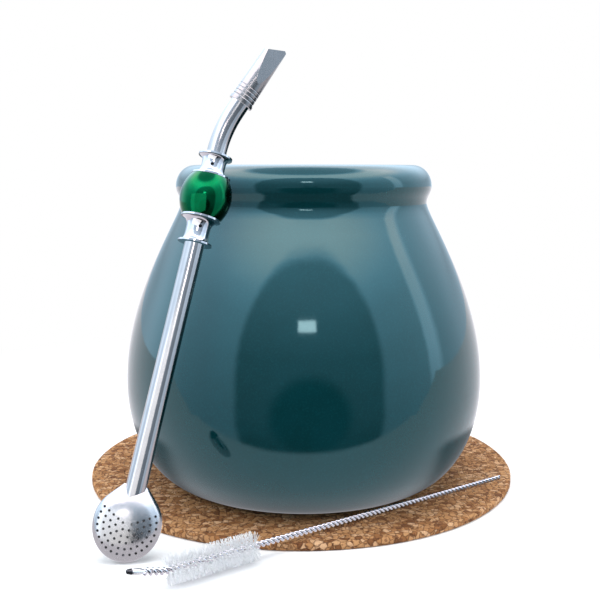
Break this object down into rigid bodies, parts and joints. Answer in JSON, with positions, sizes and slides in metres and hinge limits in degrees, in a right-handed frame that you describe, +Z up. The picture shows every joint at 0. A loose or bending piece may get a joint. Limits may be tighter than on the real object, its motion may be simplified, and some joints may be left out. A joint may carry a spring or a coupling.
{
  "type": "mate gourd cup with metal straw, coaster and cleaning brush",
  "caption": "Ceramic gourd-shaped mate cup on a round cork coaster, with a metal strainer straw leaning on its lip and a straw cleaning brush lying in front.",
  "frame": {"origin": "middle of the coaster's flat underside, on the table", "axes": "+Z up through the cup's open mouth, +Y away from the side where the straw and the brush are, +X towards the end of the brush's wire"},
  "size_m": [0.1302, 0.1559, 0.1247],
  "materials": {
    "cork": "matte",
    "glaze": "gloss",
    "satin_steel": "satin",
    "steel": "polished",
    "chrome": "polished",
    "bead_green": "gloss",
    "wire": "polished",
    "nylon": "satin"
  },
  "bodies": {
    "root": {"coaster": "cork", "cup": "glaze", "strainer_spoon": "satin_steel", "tube": "steel", "mouthpiece": "satin_steel", "lower_ferrule": "chrome", "upper_ferrule": "chrome", "bead": "bead_green", "brush_wire": "wire", "brush_bristles": "nylon"}
  },
  "joints": []
}
